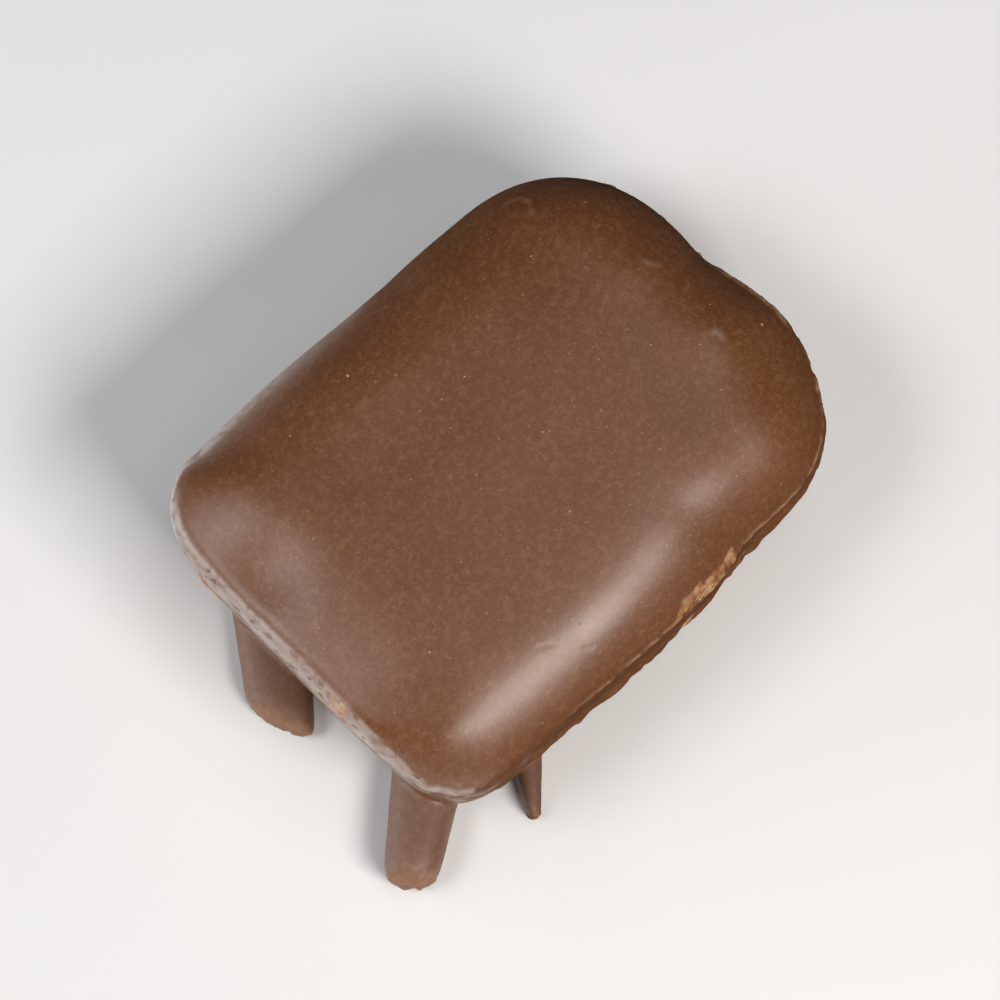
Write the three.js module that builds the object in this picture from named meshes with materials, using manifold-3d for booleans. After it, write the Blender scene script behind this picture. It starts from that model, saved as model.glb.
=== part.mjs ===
// One chocolate coconut chew: a soft-cornered block of coated filling on a flat base, with tails of
// set chocolate at the base and coconut shreds standing out of the coating.
// Millimetres. +X runs along the chew, +Z is up, and the origin is the middle of the flat base.
import * as THREE from "three";
import { mergeVertices } from "three/addons/utils/BufferGeometryUtils.js";
import Module from "manifold-3d";

const wasm = await Module();
wasm.setup();

const chew = {
  length: 37.4,
  width: 28.6,
  height: 15.5,
  shoulderRadius: 7.6, // where the top turns down to the rim
  nearShoulderRadius: 2.4, // the same at the near end, which turns down shortly
  nearShoulderFrom: [0.6, 0.85], // shares of half the length between which that end's radius comes in
  nearFall: 0.8, // how far the top falls towards the near end before it turns down
  nearFallFrom: 0.5, // share of half the length at which it starts to fall
  rimOverhang: 0.25, // how far the shoulder would run on past the wall, which leaves an edge at the rim
  heelRadius: 1.8, // where the walls turn in under the chew
  fullness: 2.3, // power of every rounding: 2 is a circle, more is squarer
  endBow: 1.1, // how far an end bows out past its corners
  sideBow: 0.7, // the same for a long side
  girdle: 11.5, // height at which the chew is widest
  wallLean: 1.7, // how far the walls lean in from there to the base
  leanPower: 1.5, // 1 leans evenly, more leans mostly near the base
  crown: 2.6, // how far the top falls from its middle to its corners
  segments: [30, 23, 13],
};
const middle = chew.height / 2;

// Radius of each corner seen from above, by its end (near is -X) and its side (right is -Y).
const corners = { farLeft: 8.2, farRight: 6.3, nearLeft: 5.2, nearRight: 3.9 };
const cornerBlend = 1 / 3; // share of half a side over which one radius gives way to the next

// Waves of the walls seen from above: how many go round, how high they are and where they start.
const wallWaves = [
  { count: 3, height: 0.16, start: 0.6 },
  { count: 5, height: 0.13, start: 2.2 },
];

// Bumps of the walls seen from above: the angle and the reach in degrees, and the height.
const wallBumps = [
  { angle: -15, reach: 9, height: 0.7 },
  { angle: 4, reach: 7, height: -0.35 },
  { angle: -62, reach: 8, height: -0.3 },
];

// Swells and dents of the top: the middle, the reach and the height, which is negative for a dent.
const topSwells = [
  { x: -16, y: 4.6, reach: 2.4, height: -0.35 },
  { x: -13.5, y: 8.5, reach: 3.2, height: 0.25 },
  { x: -12.5, y: -5.5, reach: 3.8, height: 0.25 },
  { x: -2, y: 4, reach: 6.5, height: -0.2 },
  { x: 5, y: -8, reach: 4.5, height: 0.2 },
  { x: 14.3, y: -3.8, reach: 2.2, height: 0.28 },
  { x: 14.5, y: 2.4, reach: 2, height: 0.25 },
  { x: 9, y: 9.5, reach: 3.6, height: -0.25 },
];

// Tails of chocolate that lie at the base: the root, the heading in degrees from +X, and the sizes.
// The skew slants the broken tip.
const tails = [
  { x: -12.6, y: -6.7, heading: 217, length: 11.1, root: 5.2, tip: 3.3, height: 3.3, skew: 0.1 },
  { x: -14.6, y: 6.6, heading: 232, length: 9, root: 4.9, tip: 4.1, height: 2.6, skew: -0.6 },
  { x: -9.8, y: -11.6, heading: 233, length: 5, root: 2.3, tip: 0.9, height: 1.8, skew: 0 },
];
const tailSegments = [9, 6, 4];
const tailPowers = { along: 12, across: 2.4, up: 2.2 };
const tailWidestAt = 0.35; // share of a tail's height at which it is widest

// Coconut shreds under the coating of the walls, spread round every wall but the smooth near end.
const wallShreds = {
  count: 24,
  firstAngle: -128,
  lastAngle: 142,
  lowest: 2.8,
  highest: 9.6,
  shortest: 3.2,
  longest: 7,
  thickness: 1.5,
  proud: 0.34, // how far a shred stands out of the wall
  tilt: 20, // the most a shred tips from level, in degrees
};

// Flakes that break through the coating: the angle seen from above, the height, the sizes and the tip.
const flakes = [
  { angle: -164, z: 12.5, length: 2.2, thickness: 0.9, proud: 0.26, tip: 35 },
  { angle: -161, z: 11.7, length: 1.6, thickness: 0.8, proud: 0.26, tip: -40 },
  { angle: -79, z: 11.4, length: 5.6, thickness: 1.3, proud: 0.3, tip: 4 },
];
const shredSegments = [8, 6]; // round a shred and along it
const nearby = { degrees: 2, rise: 0.4 }; // steps along the wall that show which way it faces

// The patch of the underside that the chew stands on, which is a hair lower than the rest of it.
const sole = {
  corners: [
    [12.2, 3.2],
    [-4.4, 8.9],
    [-12.2, -3.2],
    [4.4, -8.9],
  ],
  drop: 0.04, // how much lower it is
  depth: 1, // how far it reaches up into the chew
};

// Fractions that spread evenly without repeating, one series for each thing that varies.
const spreads = { angle: 0.754878, height: 0.56984, length: 0.414214, tilt: 0.7236 };

const farthest = 60; // no skin is this far from its centre
const halvings = 40; // of that distance, when the skin is searched for

function fraction(value) {
  return value - Math.floor(value);
}

function mix(from, to, share) {
  return from + (to - from) * share;
}

function rounding(a, b) {
  return Math.pow(Math.pow(a, chew.fullness) + Math.pow(b, chew.fullness), 1 / chew.fullness);
}

// The height of the top over a point of the base.
function topHeight(x, y) {
  const out = Math.pow((2 * x) / chew.length, 2) + Math.pow((2 * y) / chew.width, 2);
  const towardsEnd = Math.max((-2 * x) / chew.length - chew.nearFallFrom, 0) / (1 - chew.nearFallFrom);
  let height = chew.height - (chew.crown * out) / 2 - chew.nearFall * Math.pow(towardsEnd, 2);
  for (const swell of topSwells) {
    const away = Math.hypot(x - swell.x, y - swell.y) / swell.reach;
    height += swell.height * Math.exp(-away * away);
  }
  return height;
}

// The radius of the corner that a point is nearest to.
function cornerRadius(x, y) {
  const far = THREE.MathUtils.smoothstep((2 * x) / chew.length, -cornerBlend, cornerBlend);
  const left = THREE.MathUtils.smoothstep((2 * y) / chew.width, -cornerBlend, cornerBlend);
  const farRadius = mix(corners.farRight, corners.farLeft, left);
  return mix(mix(corners.nearRight, corners.nearLeft, left), farRadius, far);
}

// The radius of the shoulder, which shrinks towards the near end.
function shoulderRadius(x) {
  const near = THREE.MathUtils.smoothstep((-2 * x) / chew.length, ...chew.nearShoulderFrom);
  return mix(chew.shoulderRadius, chew.nearShoulderRadius, near);
}

// How far the walls stand out, at an angle seen from above, past their plain outline.
function wallRelief(angle) {
  let relief = 0;
  for (const wave of wallWaves) {
    relief += wave.height * Math.sin(wave.count * angle + wave.start);
  }
  for (const bump of wallBumps) {
    const away = (THREE.MathUtils.radToDeg(angle) - bump.angle) / bump.reach;
    relief += bump.height * Math.exp(-away * away);
  }
  return relief;
}

// How far a point lies outside an outline like the walls', seen from above. It is negative inside.
function outsideOutline(x, y, z, radius, growth) {
  const lean = chew.wallLean * Math.pow(Math.max(1 - z / chew.girdle, 0), chew.leanPower);
  const halfLength = chew.length / 2 - chew.endBow * Math.pow((2 * y) / chew.width, 2) - lean + growth;
  const halfWidth = chew.width / 2 - chew.sideBow * Math.pow((2 * x) / chew.length, 2) - lean + growth;
  const pastX = Math.max(Math.abs(x) - halfLength + radius, 0);
  const pastY = Math.max(Math.abs(y) - halfWidth + radius, 0);
  return rounding(pastX, pastY) - radius - wallRelief(Math.atan2(y, x));
}

// How far a point lies outside the line where the shoulder ends. Its corners are as soft as the shoulder,
// and it is grown so that they meet the corners of the walls.
function outsideShoulder(x, y, z, radius) {
  const corner = cornerRadius(x, y);
  const softer = Math.max(corner, radius);
  const growth = (softer - corner) * (1 - Math.pow(2, -1 / chew.fullness));
  return outsideOutline(x, y, z, softer, growth) - chew.rimOverhang;
}

// Negative inside the coated block, zero on its skin.
function blockField(x, y, z) {
  const outside = outsideOutline(x, y, z, cornerRadius(x, y), 0);
  if (z > middle) {
    const radius = shoulderRadius(x);
    const pastRim = Math.max(outsideShoulder(x, y, z, radius) + radius, 0);
    const pastTop = Math.max(z - topHeight(x, y) + radius, 0);
    return Math.max(rounding(pastRim, pastTop) - radius, outside);
  }
  const pastWall = Math.max(outside + chew.heelRadius, 0);
  const pastBase = Math.max(chew.heelRadius - z, 0);
  return rounding(pastWall, pastBase) - chew.heelRadius;
}

// Negative inside a tail that runs from its root at the origin along +X, zero on its skin.
function tailField(tail) {
  return (along, across, z) => {
    const share = THREE.MathUtils.clamp(along / tail.length, 0, 1);
    const halfWidth = mix(tail.root, tail.tip, share) / 2;
    const fromMiddle = (2 * (along + tail.skew * across)) / tail.length - 1;
    const up = (z / tail.height - tailWidestAt) / (1 - tailWidestAt);
    const skin =
      Math.pow(Math.abs(fromMiddle), tailPowers.along) +
      Math.pow(Math.abs(across) / halfWidth, tailPowers.across) +
      Math.pow(Math.abs(up), tailPowers.up) -
      1;
    return Math.max(skin, -z);
  };
}

// The distance from a centre to the skin of a field, in a given direction.
function reachOfSkin(field, centre, direction) {
  let near = 0;
  let far = farthest;
  for (let i = 0; i < halvings; i++) {
    const reach = (near + far) / 2;
    const point = centre.clone().addScaledVector(direction, reach);
    if (field(point.x, point.y, point.z) < 0) {
      near = reach;
    } else {
      far = reach;
    }
  }
  return near;
}

// A closed surface without normals and texture places, so that shared corners are joined.
function plainSurface(geometry) {
  geometry.deleteAttribute("normal");
  geometry.deleteAttribute("uv");
  return mergeVertices(geometry);
}

// A box whose corners are all moved along lines from its centre to the skin of a field.
function skinOf(field, centre, size, segments) {
  const surface = plainSurface(new THREE.BoxGeometry(...size, ...segments));
  const places = surface.getAttribute("position");
  const direction = new THREE.Vector3();
  for (let i = 0; i < places.count; i++) {
    direction.fromBufferAttribute(places, i).normalize();
    const place = centre.clone().addScaledVector(direction, reachOfSkin(field, centre, direction));
    places.setXYZ(i, place.x, place.y, place.z);
  }
  return surface;
}

function solidOf(surface) {
  return new wasm.Manifold(
    new wasm.Mesh({
      numProp: 3,
      vertProperties: new Float32Array(surface.getAttribute("position").array),
      triVerts: new Uint32Array(surface.getIndex().array),
    }),
  );
}

function coatedBlock() {
  const centre = new THREE.Vector3(0, 0, middle);
  return solidOf(skinOf(blockField, centre, [chew.length, chew.width, chew.height], chew.segments));
}

function baseTail(tail) {
  const centre = new THREE.Vector3(tail.length / 2, 0, tail.height * tailWidestAt);
  const size = [tail.length, tail.root, tail.height];
  const surface = skinOf(tailField(tail), centre, size, tailSegments);
  surface.rotateZ(THREE.MathUtils.degToRad(tail.heading));
  surface.translate(tail.x, tail.y, 0);
  return solidOf(surface);
}

// The point of the wall at an angle seen from above and a height.
function wallPoint(angle, z) {
  const turn = THREE.MathUtils.degToRad(angle);
  const direction = new THREE.Vector3(chew.length * Math.cos(turn), chew.width * Math.sin(turn), 0);
  const axis = new THREE.Vector3(0, 0, z);
  direction.normalize();
  return axis.clone().addScaledVector(direction, reachOfSkin(blockField, axis, direction));
}

// The way the wall runs from one of its points to another.
function wallStep(from, to) {
  return wallPoint(...to).sub(wallPoint(...from)).normalize();
}

// A grain that lies along the wall, part sunk in it.
function shred({ angle, z, length, thickness, proud, tip }) {
  const level = wallStep([angle - nearby.degrees, z], [angle + nearby.degrees, z]);
  const upward = wallStep([angle, z - nearby.rise], [angle, z + nearby.rise]);
  const outward = level.clone().cross(upward).normalize();
  level.applyAxisAngle(outward, THREE.MathUtils.degToRad(tip));
  const surface = plainSurface(new THREE.SphereGeometry(1, ...shredSegments));
  surface.rotateZ(Math.PI / 2);
  surface.scale(length / 2, thickness / 2, thickness / 2);
  surface.applyMatrix4(new THREE.Matrix4().makeBasis(level, outward.clone().cross(level), outward));
  const place = wallPoint(angle, z).addScaledVector(outward, proud - thickness / 2);
  surface.translate(place.x, place.y, place.z);
  return solidOf(surface);
}

function shredsOfWalls() {
  const made = [];
  for (let i = 1; i <= wallShreds.count; i++) {
    made.push(
      shred({
        angle: mix(wallShreds.firstAngle, wallShreds.lastAngle, fraction(i * spreads.angle)),
        z: mix(wallShreds.lowest, wallShreds.highest, fraction(i * spreads.height)),
        length: mix(wallShreds.shortest, wallShreds.longest, fraction(i * spreads.length)),
        thickness: wallShreds.thickness,
        proud: wallShreds.proud,
        tip: mix(-wallShreds.tilt, wallShreds.tilt, fraction(i * spreads.tilt)),
      }),
    );
  }
  return made;
}

function wholeChew() {
  let solid = coatedBlock();
  const fused = [...tails.map(baseTail), ...shredsOfWalls(), ...flakes.map(shred)];
  for (const piece of fused) {
    solid = solid.add(piece);
  }
  const patch = wasm.Manifold.extrude([sole.corners], sole.depth);
  return solid.translate([0, 0, sole.drop]).add(patch);
}

function geometryOf(solid) {
  const made = solid.getMesh();
  const geometry = new THREE.BufferGeometry();
  geometry.setAttribute("position", new THREE.BufferAttribute(made.vertProperties, 3));
  geometry.setIndex(new THREE.BufferAttribute(made.triVerts, 1));
  geometry.computeVertexNormals();
  return geometry;
}

const milkChocolate = new THREE.MeshStandardMaterial({
  name: "milk_chocolate",
  color: 0x74503c,
  roughness: 0.42,
  metalness: 0,
});

const mesh = new THREE.Mesh(geometryOf(wholeChew()), milkChocolate);
mesh.name = "coated_chew";

const part = new THREE.Group();
part.name = "chocolate_coconut_chew";
part.add(mesh);

export default part;
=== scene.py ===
import math
from types import SimpleNamespace

import bmesh
import bpy
import numpy as np
from bpy.props import FloatProperty, FloatVectorProperty, IntProperty, PointerProperty
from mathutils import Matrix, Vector


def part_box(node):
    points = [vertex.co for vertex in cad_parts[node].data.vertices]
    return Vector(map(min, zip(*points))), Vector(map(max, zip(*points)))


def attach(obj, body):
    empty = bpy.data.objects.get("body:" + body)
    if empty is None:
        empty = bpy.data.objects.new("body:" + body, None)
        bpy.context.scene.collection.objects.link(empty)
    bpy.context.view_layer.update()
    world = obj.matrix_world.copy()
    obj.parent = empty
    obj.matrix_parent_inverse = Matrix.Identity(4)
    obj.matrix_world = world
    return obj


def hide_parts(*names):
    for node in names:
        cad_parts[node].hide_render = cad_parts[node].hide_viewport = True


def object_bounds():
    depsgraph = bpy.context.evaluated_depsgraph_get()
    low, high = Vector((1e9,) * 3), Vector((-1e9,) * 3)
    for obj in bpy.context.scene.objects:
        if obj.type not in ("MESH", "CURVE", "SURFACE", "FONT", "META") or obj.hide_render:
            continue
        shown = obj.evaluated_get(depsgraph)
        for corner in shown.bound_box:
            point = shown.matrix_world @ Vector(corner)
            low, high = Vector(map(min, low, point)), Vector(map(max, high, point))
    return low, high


bl_info = {
    "name": "Coated Coconut Chew",
    "version": (1, 0, 0),
    "blender": (4, 5, 0),
    "location": "View3D > Sidebar > Chew",
    "description": "Coats one coconut chew in milk chocolate and sets it on a pale stage",
    "category": "Object",
}

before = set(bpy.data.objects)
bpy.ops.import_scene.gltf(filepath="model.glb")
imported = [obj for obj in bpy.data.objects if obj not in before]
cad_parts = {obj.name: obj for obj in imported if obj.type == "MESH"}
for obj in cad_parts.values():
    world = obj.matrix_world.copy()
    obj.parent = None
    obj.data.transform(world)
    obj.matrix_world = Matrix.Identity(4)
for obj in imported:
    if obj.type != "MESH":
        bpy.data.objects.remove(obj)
CAD_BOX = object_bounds()

MM = 0.001
NODE = "coated_chew"
BODY = "root"
COATING = "milk_chocolate_coating"


def named(words, *rows):
    """Rows of a table as things with named values"""
    return [SimpleNamespace(**dict(zip(words.split(), row))) for row in rows]


def arc(middle, radius, angles, steps):
    """Places on an arc round a middle"""
    turns = np.radians(np.linspace(*angles, steps))
    return np.column_stack([np.cos(turns), np.sin(turns)]) * radius + middle


# Every size in the tables below is in millimetres, and every angle in degrees.

# Radius of each corner seen from above, by its end (near is -X) and its side (right is -Y).
CORNERS = SimpleNamespace(far_left=8.2, far_right=6.3, near_left=5.2, near_right=3.9)

# Share of half the length or width, on either side of the middle, over which two corners blend.
CORNER_BLEND = 1 / 3

# Shares of half the length between which the shorter shoulder of the near end comes in.
NEAR_SHOULDER = (0.55, 0.93)

# Shares of half the width, right to left, between which it gets as short as it is along most of the end.
NEAR_SHOULDER_LEFT = (-0.9, -0.4)

# Share of half the length at which the top starts to fall towards the near end.
NEAR_FALL_FROM = 0.5

# Waves of the walls seen from above: how many go round, their height and where they start, in radians.
WALL_WAVES = [(3, 0.16, 0.6), (5, 0.13, 2.2)]

# Bumps of the walls seen from above: the angle, the reach in degrees and the height.
WALL_BUMPS = [(-15, 9, 0.7), (4, 7, -0.35), (-62, 8, -0.3)]

# Swells and dents of the top: the middle's two places, the reach and the height.
TOP_SWELLS = [
    (-16.0, 4.6, 2.4, -0.35),
    (-13.5, 8.5, 3.2, 0.25),
    (-12.5, -5.5, 3.8, 0.25),
    (-2.0, 4.0, 6.5, -0.2),
    (5.0, -8.0, 4.5, 0.2),
    (14.3, -3.8, 2.2, 0.28),
    (14.5, 2.4, 2.0, 0.25),
    (9.0, 9.5, 3.6, -0.25),
]

# Tails of set chocolate, with the heading from +X and the slant of the broken tip.
TAILS = named(
    "x y heading length root tip height skew",
    (-12.6, -6.7, 217, 11.1, 5.2, 3.3, 3.3, 0.1),
    (-14.6, 6.6, 232, 9.0, 4.9, 4.1, 2.6, -0.6),
    (-9.8, -11.6, 233, 5.0, 2.3, 0.9, 1.8, 0.0),
)

# Powers that round a tail, and the share of its height at which it is widest.
TAIL_POWERS = SimpleNamespace(along=12, across=2.4, up=2.2)
TAIL_WIDEST_AT = 0.35

# Shares of a tail's length between which its break begins, and how far over the tail the break may reach.
TAIL_BREAK = (0.9, 0.97)
TAIL_BREAK_OVER = 1.0

# Shreds of coconut under the coating of the walls: large ones, and finer ones between them.
LARGE_SHREDS, FINE_SHREDS = named(
    "first count angles heights lengths width proud tilt",
    (1, 24, (-128, 142), (2.8, 9.6), (3.2, 7.0), 1.3, 0.3, 20),
    (101, 90, (-138, 158), (1.6, 10.0), (1.4, 4.2), 0.8, 0.12, 38),
)

# Fractions whose multiples spread the shreds, and how far a shred reaches to each side, as a share of its
# width.
SHRED_FRACTIONS = SimpleNamespace(angle=0.754878, height=0.56984, length=0.414214, tilt=0.7236)
SHRED_REACH = 0.6

# How much of the large and of the fine shreds shows through the coating.
LARGE_SHOWS = 0.6
FINE_SHOWS = 0.35

# Flakes that lift the coating at the rim.
FLAKES = SimpleNamespace(
    angle=[-164, -161], height=[12.5, 11.7], length=[2.2, 1.6], width=[0.9, 0.8], proud=[0.2, 0.2],
    tip=[35, -40],
)

# Chips of the torn patch at the right rim. Their heights count from the rim.
CHIPS = SimpleNamespace(
    count=20, angles=(-86, -72), stray=0.5, heights=(-0.2, 0.8), lengths=(0.9, 2.4), widths=(0.35, 0.8),
    proud=(0.04, 0.16), tip=16,
)

# Bits of coconut that show. Their heights count from the rim, but those of the last row, which is on the
# walls, from the base.
*RIM_BITS, WALL_BITS = named(
    "count angles heights lengths widths tip",
    (12, (-85, -73), (-0.2, 0.6), (0.6, 1.6), (0.18, 0.36), 18),
    (6, (-165, -161), (-0.1, 0.4), (0.4, 0.8), (0.2, 0.4), 70),
    (2, (-162, -155), (-1.6, -0.6), (0.4, 0.7), (0.2, 0.35), 60),
    (3, (6, 33), (-0.4, 0.2), (0.4, 0.8), (0.25, 0.4), 60),
    (16, (-122, 150), (2.2, 8.0), (1.2, 3.2), (0.3, 0.55), 32),
)

# How far a bit strays along the wall, in degrees, how flat it is and how much of it is sunk.
BIT_STRAY = 0.8
BIT_FLATNESS = 0.55
BIT_SUNK = 0.3

# Pits of the near end and of the other walls.
WALL_PITS = named(
    "count angles heights radii depth",
    (36, (150, 208), (8.5, 13.0), (0.18, 0.36), 0.2),
    (44, (-130, 150), (2.0, 11.0), (0.25, 0.5), 0.2),
)

# Pits of the torn lip. Their heights count from the rim.
LIP_PITS = named(
    "angle height radius depth",
    (-141, -0.9, 0.5, 0.3),
    (-135, -1.3, 0.6, 0.4),
    (-129, -0.7, 0.4, 0.25),
)

# Depths between which a pit loses the painted pale reflection of the strip round it.
PIT_BARE = (0.02, 0.12)

# Ripples: the wavelength and the height, of the whole skin, the walls, the broken tips, the torn lip and
# the lower end of the strip of painted reflection.
SKIN_RIPPLES = [(8.0, 0.022), (2.8, 0.004)]
WALL_RIPPLES = [(3.0, 0.06), (1.2, 0.022)]
TIP_RIPPLES = [(1.3, 0.1), (0.6, 0.06)]
LIP_RIPPLES = [(1.3, 0.14), (0.7, 0.08)]
STRIP_RIPPLES = [(3.2, 1.2), (1.1, 0.7)]

# Fine edges along the rim, how far they are raised over it and wander from there, and the mark they leave.
# The last two are the torn lip of the near-right corner and the lip of the far end. The marks are painted
# highlights: cream paints a glint along the ridges of the right rim and the far lip, pale paints sheen along
# the near end and over the torn lip.
*RIM_EDGES, FAR_LIP = named(
    "angles steps raised wander half_width height ripples mark strength",
    ((-16, -118), 90, 0, 0.12, 0.26, 0.14, [], "cream", 1.0),
    ((-146, -222), 40, 0, 0.05, 0.5, 0.05, [], "pale", 1.0),
    ((-155, -133), 10, 0, 0.3, 0.6, 0.2, LIP_RIPPLES, "pale", 1.8),
    ((4, -22), 18, 0.9, 0.1, 0.4, 0.16, [], "cream", 1.0),
)

# Share of an edge over which it fades at each end, and the strengths that it has between.
EDGE_FADE = 0.15
EDGE_STRENGTHS = (0.55, 1.0)

# Folds along the right wall, with the angles and heights of their two ends.
FOLDS = named(
    "angles heights half_width height",
    ((-84, -42), (5.2, 6.6), 0.4, 0.26),
    ((-66, -24), (8.6, 7.6), 0.35, 0.2),
    ((-112, -76), (3.8, 4.4), 0.45, 0.22),
)

# Steps of a fold, how far it sways up and down, and how far its sway turns at each step, in radians.
FOLD_STEPS = 14
FOLD_SWAY = 0.25
FOLD_SWAY_TURN = 1.3

# Marks on the top: two dashes of a scratch, a curl and two dabs near the far end. The pale of the curl and
# the dabs is a painted highlight, a painted glint on their raised ridges.
TOP_MARKS = named(
    "half_width height pale path",
    (0.2, -0.022, 0, [(-7.3, -10.2), (-6.5, -10.7)]),
    (0.2, -0.022, 0, [(-5.2, -12.0), (-4.8, -12.3)]),
    (0.26, 0.07, 0.2, arc((11.4, 10.9), 0.9, (-80, 100), 10)),
    (0.32, 0.07, 0.25, [(14.4, 2.7), (14.5, 2.4), (14.8, 2.1)]),
    (0.32, 0.07, 0.25, [(14.2, -3.4), (14.4, -3.7), (14.4, -4.1)]),
)

# The strip of painted reflection under the rim of the near end: between which heights it begins, how far a
# wall there faces that way and upwards, from where to where it runs out along the left wall, how it narrows
# towards the right corner and where the wall faces left, and how much stronger it gets round the left corner.
PAINTED_REFLECTION_STRIP = SimpleNamespace(
    heights=(9.0, 12.0), facing=(0.3, 0.7), upwards=(0.78, 0.9), runs_out=(2.0, 14.0),
    right=(4.0, 11.0), right_less=0.4, left=(0.6, 0.9), left_less=0.22, corner=(0.2, 0.6), corner_more=0.7,
)

# How far outside the block the dull skin of the tails begins.
DULL_FROM = (0.1, 0.5)

# Heights between which the unevenness of the walls dies away below the smooth rim, and those between which
# it, and all other relief, comes in over the base.
CRAGS_END = (6.5, 9.0)
CRAGS_BEGIN = (0.4, 1.4)
RELIEF_BEGINS = (0.02, 0.5)

# How far upwards the skin faces where the walls end and where the top begins.
WALLS_END = (0.35, 0.75)
TOP_BEGINS = (0.6, 0.9)

# Shares of half the length between which the smoother near end begins, and how much smoother it is.
SMOOTH_END = (0.72, 0.92)
SMOOTHER = 0.85

# How full the round of every ridge and pit is.
HUMP_POWER = 1.5

# Cells of the grid outside the chew, the height below which its skin is flat, how often a search for the
# skin halves its span, and the least length that is divided by.
GRID_ROOM = 2
FLAT_BELOW = 0.01
HALVINGS = 40
TINY = 1e-6

# Patterns and finish of the chocolate, of dry coconut and of paper. The scales of the patterns count how
# many patches or grains go to a metre.
COCOA = SimpleNamespace(
    patches=150.0, fine=4200.0, ragged=1300.0, sandy=1900.0, grain_from=0.45, grain_strength=0.1,
    uneven=0.03, bump={"Strength": 0.025, "Distance": 0.08 * MM},
)
DRY_COCONUT = SimpleNamespace(
    bits=900.0, dust=400.0, fine=5200.0, roughness=(0.5, 0.72), bump={"Strength": 0.3, "Distance": 0.06 * MM},
)
PAPER = SimpleNamespace(cloud={"Scale": 12.0, "Detail": 2.0}, shade=0.985, roughness=0.7)

# Pale pin grains of the chocolate: cells to a metre, the share of them with a grain, and its share of a cell.
PIN_GRAINS = named("scale share size strength", (3000.0, 0.2, 0.26, 0.28), (1100.0, 0.12, 0.14, 0.4))

# Tints over the chocolate, from the lowest: the mark, the values between which it begins, those of the ragged
# pattern between which its gaps end, the strength and the colour.
TINTS = named(
    "mark begins gaps strength colour",
    ("coconut", None, None, 0.12, "bare"),
    ("dull", None, None, 0.08, "bloom_and_sheen"),
    ("tips", None, None, 0.2, "bare"),
    # Painted sheen: a pale painted reflection on the near end and painted highlights on its edge, the lip,
    # curl and dabs.
    ("pale", None, (-0.1, 0.5), 0.5, "bloom_and_sheen"),
    # Painted glint along the cream rim edges.
    ("cream", None, (0.2, 0.6), 0.7, "speck"),
    ("torn", (0.1, 0.5), (0.2, 0.6), 0.75, "bare"),
    ("torn", (0.1, 0.5), (0.6, 0.9), 0.7, "speck"),
)

# Corners of the floor and of the card at the near end, and the height of the card.
FLOOR = [(-1500, -1500), (1500, -1500), (1500, 1500), (-1500, 1500)]
CARD = [(-300, -60), (-18, -60), (-18, -15), (-10, -15), (-10, 14), (4, 20), (4, 300), (-300, 300)]
CARD_HEIGHT = 0.05

# Soft lights, as seen from the chew, and the place that they face.
LIGHTS = named(
    "name azimuth elevation distance sides",
    ("key", 0, 43, 400, (190, 130)),
    ("side", -41, 13, 450, (520, 130)),
    ("low", -132, 9, 450, (520, 110)),
    ("fill", -120, 54, 400, (170, 140)),
    ("overhead", 71, 73, 450, (330, 190)),
)
LIGHT_TARGET = (0, 0, 8)
WHITE = (1.0, 1.0, 1.0)

# The camera's sensor, and the nearest it sees.
SENSOR = 36.0
CLIP_START = 10


# Properties

def number_property(name, description, number, **kind):
    return FloatProperty(name=name, description=description, default=number, **kind)


def length_property(name, description, millimetres):
    return number_property(name, description, millimetres * MM, min=0.0, unit="LENGTH", precision=5)


def angle_property(name, description, degrees):
    return number_property(name, description, math.radians(degrees), subtype="ANGLE")


def power_property(name, description, watts):
    return number_property(name, description, watts, min=0.0, unit="POWER")


def share_property(name, description, share):
    return number_property(name, description, share, min=0.0, max=1.0, subtype="FACTOR")


def colour_property(name, description, *colour):
    return FloatVectorProperty(
        name=name, description=description, default=colour, size=3, min=0.0, max=1.0, subtype="COLOR"
    )


class ChewSizes(bpy.types.PropertyGroup):
    """Sizes of the coated block"""

    length: length_property("Length", "From end to end, without the tails", 37.4)
    width: length_property("Width", "From side to side", 28.6)
    height: length_property("Height", "From the base to the middle of the top", 15.5)
    shoulder_radius: length_property("Shoulder Radius", "Where the top turns down to the rim", 7.6)
    near_shoulder_radius: length_property("Near Shoulder Radius", "The same at the near end", 1.5)
    corner_shoulder_radius: length_property("Corner Shoulder Radius", "The same at its right corner", 5.8)
    near_fall: length_property("Near Fall", "How far the top falls towards the near end before it turns", 0.8)
    rim_overhang: length_property("Rim Overhang", "How far the shoulder would run on past the wall", 0.25)
    rim_softness: length_property("Rim Softness", "How wide the edge at the rim is", 0.55)
    heel_radius: length_property("Heel Radius", "Where the walls turn in under the chew", 1.8)
    end_bow: length_property("End Bow", "How far an end bows out past its corners", 1.1)
    side_bow: length_property("Side Bow", "How far a long side bows out past its corners", 0.7)
    girdle: length_property("Girdle", "Height at which the chew is widest", 11.5)
    wall_lean: length_property("Wall Lean", "How far the walls lean in from the girdle to the base", 1.7)
    crown: length_property("Crown", "How far the top falls from its middle to its corners", 2.6)
    tail_fillet: length_property("Tail Fillet", "How softly a tail runs into the block", 0.45)
    grid_step: length_property("Grid Step", "Distance between the corners of the mesh", 0.19)
    fullness: number_property("Fullness", "Power of every rounding, 2 for a circle", 2.3)
    lean_power: number_property("Lean Power", "How much of the lean is near the base", 1.5)
    seed: IntProperty(name="Seed", description="Which pits, ripples and bits are drawn", default=7)


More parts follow.
